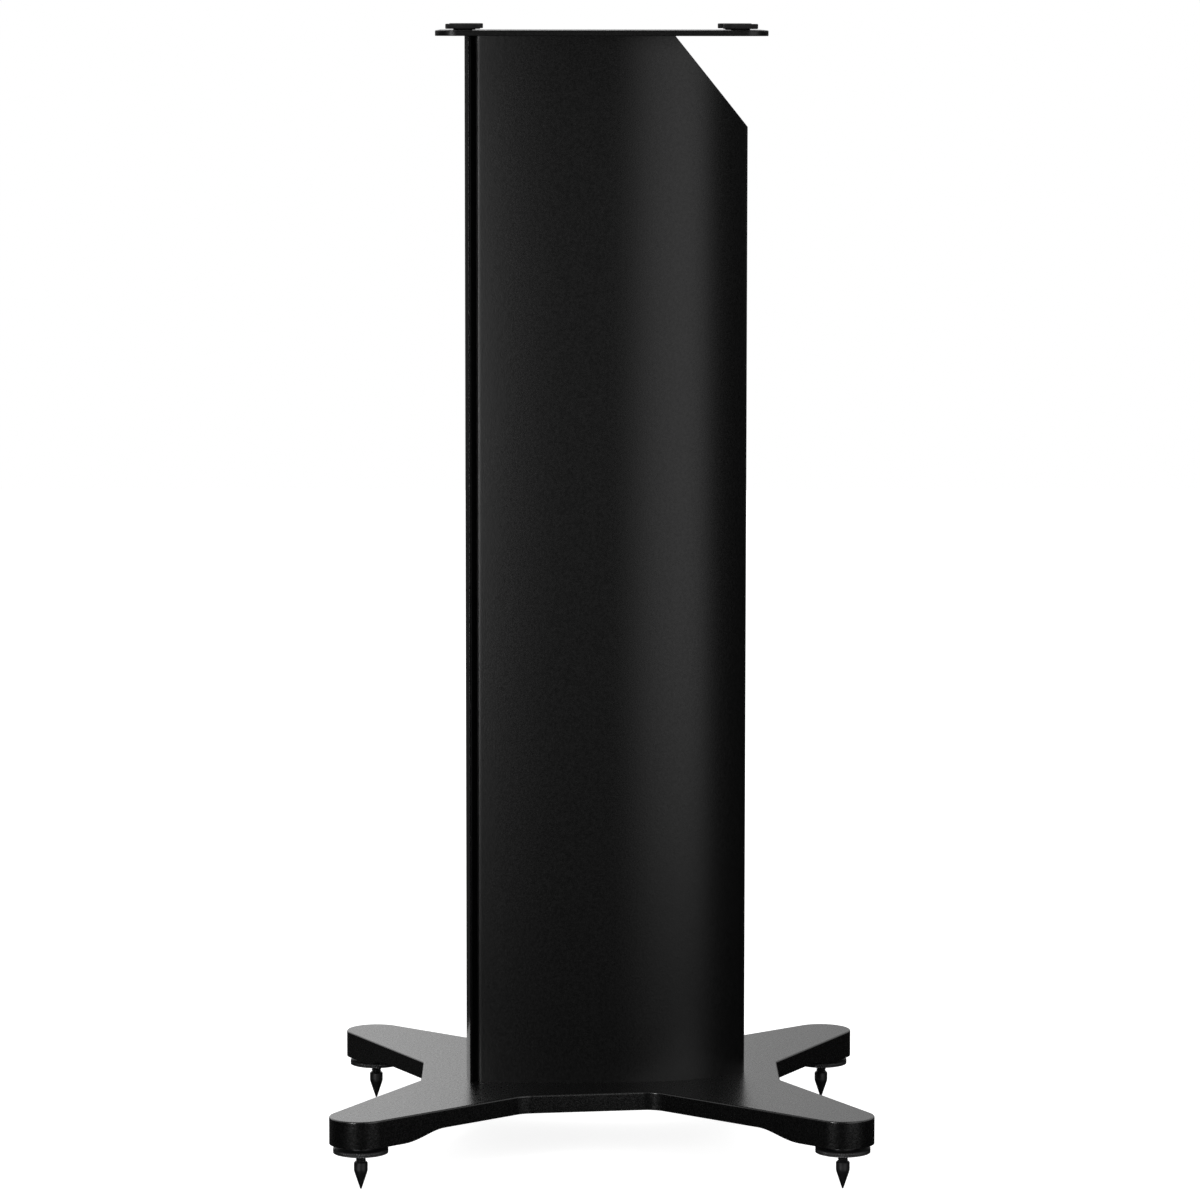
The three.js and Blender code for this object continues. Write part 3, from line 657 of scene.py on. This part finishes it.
def make_column():
    low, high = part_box("column_shell")
    bottom = low.z - OVERSHOOT
    top = high.z + OVERSHOOT
    bore = column_bore().raised(bottom, top)
    for y in WEB_CENTRES:
        web_low = (-2 * high.x, y - COLUMN_WEB / 2, bottom - OVERSHOOT)
        web_high = (2 * high.x, y + COLUMN_WEB / 2, top + OVERSHOOT)
        bore = cut(bore, block(web_low, web_high))
    ports = [middle(f"base_screw_{name}") for name in CORNERS]
    for port in ports:
        boss = rod(PORT_RADIUS + PORT_WALL, bottom - OVERSHOOT, top + OVERSHOOT, BOSS_STEPS)
        bore = cut(bore, place(boss, port))
    shell = cut(column_skin().raised(low.z, high.z), bore)
    for port in ports:
        shell = cut(shell, place(rod(PORT_RADIUS, bottom, top, HOLE_STEPS), port))
    cut_corner_off(shell)
    finish_piece("column_shell_dressed", shell, "column_shell", COLUMN_FINISH)


# ------------------------------------------------------------------------- front trim


def make_trim():
    low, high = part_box("front_trim")
    shell_low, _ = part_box("column_shell")
    half = high.x
    back_y = shell_low.y
    edge_y = back_y - TRIM_EDGE_THICKNESS
    radius = arc_radius(half, TRIM_CROWN)
    swing = math.degrees(math.asin(half / radius))
    outline = Outline(0, edge_y - TRIM_CROWN)
    outline.arc(0, edge_y - TRIM_CROWN + radius, swing, CROWN_STEP)
    outline.line(half, back_y)
    outline.line(DOVETAIL_ROOT_HALF_WIDTH, back_y)
    outline.line(DOVETAIL_END_HALF_WIDTH, back_y + DOVETAIL_DEPTH)
    outline.line(0, back_y + DOVETAIL_DEPTH)
    bm = outline.mirrored().raised(low.z, high.z)
    outermost = half - ON_FACE
    outer = [e for e in sharp_edges(bm) if min(abs(v.co.x) for v in e.verts) > outermost]
    upright = [e for e in outer if abs(e.verts[0].co.z - e.verts[1].co.z) > TRIM_CROWN]
    bevel(bm, upright, TRIM_EDGE)
    finish_piece("front_trim_dressed", bm, "front_trim", TRIM_FINISH)


# ---------------------------------------------------------------------------- plinth


def tangent(point, centre, radius, side):
    """Direction from a point past a circle, touching it on its left (1) or right (-1)."""
    towards = Vector(centre) - Vector(point)
    swing = side * math.asin(radius / towards.length)
    return Matrix.Rotation(swing, 2) @ towards.normalized()


def crossing(p, along, q, across):
    """Where a line from p in the direction along meets one from q in the direction across."""
    distance = (Vector(q) - Vector(p)).cross(across) / along.cross(across)
    return Vector(p) + along * distance


def arm_corner(foot, before, after):
    """Where the arm's two sides would meet: both touch a circle round the spike."""
    arriving = tangent(before, foot, ARM_END_RADIUS, -1)
    leaving = tangent(after, foot, ARM_END_RADIUS, 1)
    return crossing(before, arriving, after, leaving)


def plinth_outline():
    front_foot = middle("spike_front_right").xy
    rear_foot = middle("spike_rear_right").xy
    front_flat = (END_FLAT_HALF_WIDTH, -END_FLAT_Y)
    rear_flat = (END_FLAT_HALF_WIDTH, END_FLAT_Y)
    corners = [
        (front_flat, END_CORNER_RADIUS),
        (arm_corner(front_foot, front_flat, SIDE_FLAT_FRONT), ARM_END_RADIUS),
        (SIDE_FLAT_FRONT, SIDE_CORNER_RADIUS),
        (SIDE_FLAT_REAR, SIDE_CORNER_RADIUS),
        (arm_corner(rear_foot, SIDE_FLAT_REAR, rear_flat), ARM_END_RADIUS),
        (rear_flat, END_CORNER_RADIUS),
    ]
    start = (0, -END_FLAT_Y)
    end = (0, END_FLAT_Y)
    points = [start] + [point for point, _ in corners] + [end]
    outline = Outline(*start)
    for i, (point, radius) in enumerate(corners):
        outline.corner(points[i], point, points[i + 2], radius)
    outline.line(*end)
    return outline.mirrored()


def foot_pad_form(low, underside):
    """The thick pad over a spike, which rises to the arm's underside in an S-curve."""
    bottom = low - 2 * OVERSHOOT
    top = underside + 2 * OVERSHOOT
    outline = Outline(0, bottom).line(FOOT_PAD_RADIUS, bottom)
    for i in range(FOOT_PAD_POINTS + 1):
        t = i / FOOT_PAD_POINTS
        rise = (1 - math.cos(math.pi * t)) / 2
        outline.line(FOOT_PAD_RADIUS + FOOT_PAD_BLEND * t, low + (underside - low) * rise)
    outline.line(FOOT_PAD_RADIUS + FOOT_PAD_BLEND, top)
    return outline.line(0, top).turned(FOOT_PAD_STEPS)


def cable_exit(low, high):
    radius = EXIT_WIDTH / 2
    front_y = EXIT_Y - EXIT_LENGTH / 2
    rear_y = EXIT_Y + EXIT_LENGTH / 2
    outline = Outline(0, front_y).arc(0, front_y + radius, 90)
    outline.line(radius, rear_y - radius).arc(0, rear_y - radius, 90)
    return outline.mirrored().raised(low, high)


def make_plinth():
    low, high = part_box("base_plinth")
    underside = high.z - PLINTH_THICKNESS
    top = high.z + OVERSHOOT
    bm = plinth_outline().raised(low.z, high.z)
    # What is cut away below the arms is a block less the four foot pads.
    hollow = block((2 * low.x, 2 * low.y, low.z - OVERSHOOT), (2 * high.x, 2 * high.y, underside))
    for name in CORNERS:
        hollow = cut(hollow, place(foot_pad_form(low.z, underside), middle(f"spike_{name}")))
    bm = cut(bm, hollow)
    sharp = sharp_edges(bm)
    upper = [e for e in sharp if min(v.co.z for v in e.verts) > high.z - ON_FACE]
    bevel(bm, upper, PLINTH_TOP_EDGE)
    sharp = sharp_edges(bm)
    lower = [e for e in sharp if max(v.co.z for v in e.verts) < underside + ON_FACE]
    bevel(bm, lower, PLINTH_LOWER_EDGE)
    for name in CORNERS:
        insert_low, insert_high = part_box(f"thread_insert_{name}")
        radius = (insert_high.x - insert_low.x) / 2 + FIT_GAP
        pocket = rod(radius, low.z - OVERSHOOT, insert_high.z + POCKET_SPACE, BOSS_STEPS)
        bm = cut(bm, place(pocket, middle(f"thread_insert_{name}")))
        hole = rod(PORT_RADIUS, underside - OVERSHOOT, top, HOLE_STEPS)
        bm = cut(bm, place(hole, middle(f"base_screw_{name}")))
    bm = cut(bm, cable_exit(underside - OVERSHOOT, top))
    finish_piece("base_plinth_dressed", bm, "base_plinth", PLINTH_FINISH, flat_weight=True)


# ------------------------------------------------------------------ top plate and pads


def make_plate():
    low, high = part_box("top_plate")
    corners = ((high.x, low.y), (high.x, high.y))
    outline = Outline(0, low.y)
    outline.corner((0, low.y), corners[0], corners[1], PLATE_CORNER_RADIUS)
    outline.corner(corners[0], corners[1], (0, high.y), PLATE_CORNER_RADIUS)
    bm = outline.line(0, high.y).mirrored().raised(low.z, high.z)
    bevel(bm, sharp_edges(bm), PLATE_EDGE)
    bottom = low.z - OVERSHOOT
    top = high.z + OVERSHOOT
    root = SCREW_RADIUS + FIT_GAP
    rim = root + high.z - low.z - PLATE_LAND
    for name in CORNERS:
        hole = rod(PAD_SPIGOT_RADIUS + FIT_GAP, bottom, top, HOLE_STEPS)
        bm = cut(bm, place(hole, middle(f"speaker_pad_{name}")))
        sink = Outline(0, bottom).line(root, bottom)
        sink.line(root, low.z + PLATE_LAND).line(rim, high.z)
        sink.line(rim, top).line(0, top)
        bm = cut(bm, place(sink.turned(SMALL_STEPS), middle(f"plate_screw_{name}")))
    finish_piece("top_plate_dressed", bm, "top_plate", PLATE_FINISH, flat_weight=True)


def make_pad(name):
    """A rubber disc on a narrower neck, with a spigot pressed into the plate."""
    node = f"speaker_pad_{name}"
    low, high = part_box(node)
    _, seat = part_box("top_plate")
    radius = (high.x - low.x) / 2
    disc_z = seat.z + PAD_NECK_HEIGHT
    lower = (radius, disc_z)
    upper = (radius, high.z)
    outline = Outline(0, low.z).line(PAD_SPIGOT_RADIUS, low.z).line(PAD_SPIGOT_RADIUS, seat.z)
    outline.line(PAD_NECK_RADIUS, seat.z).line(PAD_NECK_RADIUS, disc_z)
    outline.corner((PAD_NECK_RADIUS, disc_z), lower, upper, PAD_EDGE)
    outline.corner(lower, upper, (0, high.z), PAD_EDGE)
    bm = outline.line(0, high.z).turned()
    finish_turned(bm, node, RUBBER_FINISH)


# --------------------------------------------------------------------- spikes and nuts


def thread_depth(turn, height):
    return THREAD_DEPTH * (1 - triangle_wave(height / THREAD_PITCH - turn))


def make_spike(name):
    """A cone that runs into a short body, under a threaded stud."""
    node = f"spike_{name}"
    low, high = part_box(node)
    radius = (high.x - low.x) / 2
    shoulder = low.z + SPIKE_SHOULDER_Z
    tip = (SPIKE_TIP_RADIUS, low.z)
    bend = (radius, low.z + SPIKE_CONE_HEIGHT)
    outline = Outline(0, low.z).line(*tip)
    outline.corner(tip, bend, (radius, shoulder), CONE_BLEND_RADIUS)
    outline.line(radius, shoulder - SPIKE_SHOULDER_CHAMFER)
    outline.line(radius - SPIKE_SHOULDER_CHAMFER, shoulder).line(STUD_RADIUS, shoulder)
    thread_end = high.z - STUD_CHAMFER
    rows = round(THREAD_ROWS * (thread_end - shoulder) / THREAD_PITCH)
    for row in range(1, rows + 1):
        outline.line(STUD_RADIUS, shoulder + (thread_end - shoulder) * row / rows)
    outline.line(STUD_RADIUS - STUD_CHAMFER, high.z).line(0, high.z)
    bm = outline.turned(SMALL_STEPS)
    engrave(bm, STUD_RADIUS, shoulder + ON_FACE, thread_end - ON_FACE, thread_depth)
    finish_turned(bm, node, STEEL_FINISH)


def knurl_depth(turn, height):
    """Two sets of slanting grooves, which leave pointed diamonds."""
    one_way = triangle_wave(KNURL_TEETH * turn + height / KNURL_RISE)
    other_way = triangle_wave(KNURL_TEETH * turn - height / KNURL_RISE)
    return KNURL_DEPTH * (1 - min(one_way, other_way))


def make_lock_nut(name):
    """A thin knurled rim with a hub that bears on the foot pad."""
    node = f"lock_nut_{name}"
    low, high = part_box(node)
    radius = (high.x - low.x) / 2
    bore = STUD_RADIUS + SMALL_CHAMFER
    rim_top = low.z + NUT_RIM_HEIGHT
    band_low = low.z + NUT_CHAMFER
    band_high = rim_top - NUT_CHAMFER
    outline = Outline(bore, low.z).line(radius - NUT_FACE_INSET, low.z)
    rows = round(KNURL_ROWS * (band_high - band_low) / KNURL_RISE)
    for row in range(rows + 1):
        outline.line(radius, band_low + (band_high - band_low) * row / rows)
    outline.line(radius - NUT_FACE_INSET, rim_top)
    outline.line(NUT_HUB_RADIUS, rim_top).line(NUT_HUB_RADIUS, high.z).line(bore, high.z)
    bm = outline.line(bore, low.z).turned(KNURL_COLUMNS * KNURL_TEETH)
    engrave(bm, radius, band_low - ON_LINE, band_high + ON_LINE, knurl_depth)
    finish_turned(bm, node, STEEL_FINISH)


def make_insert(name):
    node = f"thread_insert_{name}"
    low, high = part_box(node)
    radius = (high.x - low.x) / 2
    bore = STUD_RADIUS + SMALL_CHAMFER
    outline = Outline(bore, low.z).line(radius - SMALL_CHAMFER, low.z)
    outline.line(radius, low.z + SMALL_CHAMFER).line(radius, high.z)
    bm = outline.line(bore, high.z).line(bore, low.z).turned(SMALL_STEPS)
    finish_turned(bm, node, BRASS_FINISH)


# ------------------------------------------------------------------------------ screws


def hex_socket(z):
    return rod(HEX_SOCKET_RADIUS, z - HEX_SOCKET_DEPTH, z + HEX_SOCKET_DEPTH, steps=6)


def make_base_screw(name):
    """A button-head screw, up through the plinth."""
    node = f"base_screw_{name}"
    low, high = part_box(node)
    seat = low.z + BUTTON_HEAD_HEIGHT
    crown = BUTTON_HEAD_RADIUS - BUTTON_DOME
    outline = Outline(0, low.z).line(crown, low.z)
    outline.arc(crown, low.z + BUTTON_DOME, 90, BUTTON_DOME_STEP)
    outline.line(BUTTON_HEAD_RADIUS, seat).line(SCREW_RADIUS, seat)
    outline.line(SCREW_RADIUS, high.z).line(0, high.z)
    bm = cut(outline.turned(SMALL_STEPS), hex_socket(low.z))
    finish_turned(bm, node, ZINC_FINISH)


def make_washer(name):
    node = f"base_washer_{name}"
    low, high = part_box(node)
    radius = (high.x - low.x) / 2
    outline = Outline(PORT_RADIUS, low.z).line(radius - SMALL_CHAMFER, low.z)
    outline.line(radius, low.z + SMALL_CHAMFER).line(radius, high.z)
    bm = outline.line(PORT_RADIUS, high.z).line(PORT_RADIUS, low.z).turned(SMALL_STEPS)
    finish_turned(bm, node, ZINC_FINISH)


def make_plate_screw(name):
    """A countersunk screw, flush with the plate."""
    node = f"plate_screw_{name}"
    low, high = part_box(node)
    radius = (high.x - low.x) / 2
    outline = Outline(0, low.z).line(SCREW_RADIUS, low.z)
    outline.line(SCREW_RADIUS, high.z - radius + SCREW_RADIUS)
    outline.line(radius, high.z).line(0, high.z)
    bm = cut(outline.turned(SMALL_STEPS), hex_socket(high.z))
    finish_turned(bm, node, STEEL_FINISH)


make_column()
make_trim()
make_plinth()
make_plate()
for corner_name in CORNERS:
    make_pad(corner_name)
    make_spike(corner_name)
    make_lock_nut(corner_name)
    make_insert(corner_name)
    make_base_screw(corner_name)
    make_washer(corner_name)
    make_plate_screw(corner_name)

# ---------------------------------------------------------------------------- studio


def floor_material():
    """White to the camera save for a soft shadow, and not there for gloss."""
    material = bpy.data.materials.new("pale_floor")
    material.use_nodes = True
    nodes = material.node_tree.nodes
    links = material.node_tree.links
    surface = nodes["Principled BSDF"]
    surface.inputs["Base Color"].default_value = (*FLOOR_COLOUR, 1)
    surface.inputs["Roughness"].default_value = FLOOR_ROUGHNESS
    surface.inputs["Specular IOR Level"].default_value = 0.0
    surface.inputs["Emission Color"].default_value = (1, 1, 1, 1)
    path = nodes.new("ShaderNodeLightPath")
    glow = nodes.new("ShaderNodeMath")
    glow.operation = "MULTIPLY"
    glow.inputs[1].default_value = FLOOR_GLOW
    links.new(path.outputs["Is Camera Ray"], glow.inputs[0])
    links.new(glow.outputs["Value"], surface.inputs["Emission Strength"])
    clear = nodes.new("ShaderNodeBsdfTransparent")
    seen = nodes.new("ShaderNodeMixShader")
    links.new(path.outputs["Is Glossy Ray"], seen.inputs["Fac"])
    links.new(surface.outputs["BSDF"], seen.inputs[1])
    links.new(clear.outputs["BSDF"], seen.inputs[2])
    links.new(seen.outputs["Shader"], nodes["Material Output"].inputs["Surface"])
    return material


def make_floor():
    bm = bmesh.new()
    bmesh.ops.create_grid(bm, x_segments=1, y_segments=1, size=FLOOR_HALF_SIZE)
    bmesh.ops.translate(bm, verts=bm.verts, vec=(0, 0, -FLOOR_DROP))
    floor = link("floor", bm)
    floor.data.materials.append(floor_material())


def strip_light(name, centre, size, radiance):
    """An upright softbox that faces the column and that the camera doesn't see."""
    width, height = size
    data = bpy.data.lights.new(name, "AREA")
    data.shape = "RECTANGLE"
    data.size = width
    data.size_y = height
    data.energy = radiance * math.pi * width * height
    lamp = bpy.data.objects.new(name, data)
    bpy.context.scene.collection.objects.link(lamp)
    lamp.location = centre
    towards = Vector((-centre[0], -centre[1], 0))
    lamp.rotation_euler = towards.to_track_quat("-Z", "Y").to_euler()
    lamp.visible_camera = False


class Sky:
    """The world's node tree, whose ramps read the direction that a ray leaves in."""

    def __init__(self):
        world = bpy.data.worlds.new("studio")
        bpy.context.scene.world = world
        world.use_nodes = True
        self.nodes = world.node_tree.nodes
        self.links = world.node_tree.links
        self.direction = self.nodes.new("ShaderNodeSeparateXYZ")
        where = self.nodes.new("ShaderNodeTexCoord")
        self.links.new(where.outputs["Generated"], self.direction.inputs["Vector"])
        self.path = self.nodes.new("ShaderNodeLightPath")

    def ramp(self, axis, start, end, low, high):
        """A level that goes from low to high as the direction's part along axis does."""
        node = self.nodes.new("ShaderNodeMapRange")
        node.interpolation_type = "SMOOTHSTEP"
        node.inputs["From Min"].default_value = start
        node.inputs["From Max"].default_value = end
        node.inputs["To Min"].default_value = low
        node.inputs["To Max"].default_value = high
        self.links.new(self.direction.outputs[axis], node.inputs["Value"])
        return node.outputs["Result"]

    def combined(self, operation, first, second):
        node = self.nodes.new("ShaderNodeMath")
        node.operation = operation
        self.links.new(first, node.inputs[0])
        self.links.new(second, node.inputs[1])
        return node.outputs["Value"]


def make_world():
    """White to the camera, plain light for diffuse surfaces, and a studio for gloss."""
    sky = Sky()
    behind = sky.ramp("X", *GLOSS_DEPTH, GLOSS_FRONT, GLOSS_BEHIND)
    above = sky.ramp("Z", *GLOSS_HORIZON, GLOSS_BELOW, 1.0)
    sideways = sky.ramp("Y", -GLOSS_TURN, GLOSS_TURN, *GLOSS_SIDES)
    gloss = sky.combined("MULTIPLY", behind, above)
    gloss = sky.combined("MULTIPLY", gloss, sideways)
    high = sky.ramp("Z", *GLOSS_HIGH, 0.0, GLOSS_HIGH_LEVEL)
    beside = sky.ramp("X", *GLOSS_HIGH_SIDES, 0.0, 1.0)
    gloss = sky.combined("MAXIMUM", gloss, sky.combined("MULTIPLY", high, beside))
    glossy = sky.path.outputs["Is Glossy Ray"]
    shiny = sky.combined("MAXIMUM", glossy, sky.path.outputs["Is Transmission Ray"])
    level = sky.nodes.new("ShaderNodeMix")
    level.inputs["A"].default_value = FILL_LEVEL
    sky.links.new(shiny, level.inputs["Factor"])
    sky.links.new(gloss, level.inputs["B"])
    seen = sky.nodes.new("ShaderNodeMix")
    seen.inputs["B"].default_value = 1.0
    sky.links.new(sky.path.outputs["Is Camera Ray"], seen.inputs["Factor"])
    sky.links.new(level.outputs["Result"], seen.inputs["A"])
    background = sky.nodes["Background"]
    sky.links.new(seen.outputs["Result"], background.inputs["Strength"])
    background.inputs["Color"].default_value = (1, 1, 1, 1)


def make_camera():
    data = bpy.data.cameras.new("photograph_view")
    data.lens = CAMERA_LENS
    data.sensor_width = CAMERA_SENSOR
    data.clip_end = CAMERA_REACH
    camera = bpy.data.objects.new("photograph_view", data)
    bpy.context.scene.collection.objects.link(camera)
    turn = math.radians(CAMERA_TURN)
    pitch = math.radians(CAMERA_PITCH)
    level = Vector((-math.cos(turn), math.sin(turn), 0))
    ahead = level * math.cos(pitch) + Vector((0, 0, math.sin(pitch)))
    aim = ahead.to_track_quat("-Z", "Y").to_matrix().to_4x4()
    roll = Matrix.Rotation(math.radians(CAMERA_ROLL), 4, "Z")
    camera.matrix_world = Matrix.Translation(CAMERA_PLACE) @ aim @ roll
    bpy.context.scene.camera = camera


make_floor()
strip_light("front_strip", FRONT_STRIP, FRONT_STRIP_SIZE, FRONT_STRIP_RADIANCE)
strip_light("rear_strip", REAR_STRIP, REAR_STRIP_SIZE, REAR_STRIP_RADIANCE)
make_world()
make_camera()
bpy.context.scene.view_settings.view_transform = "Standard"
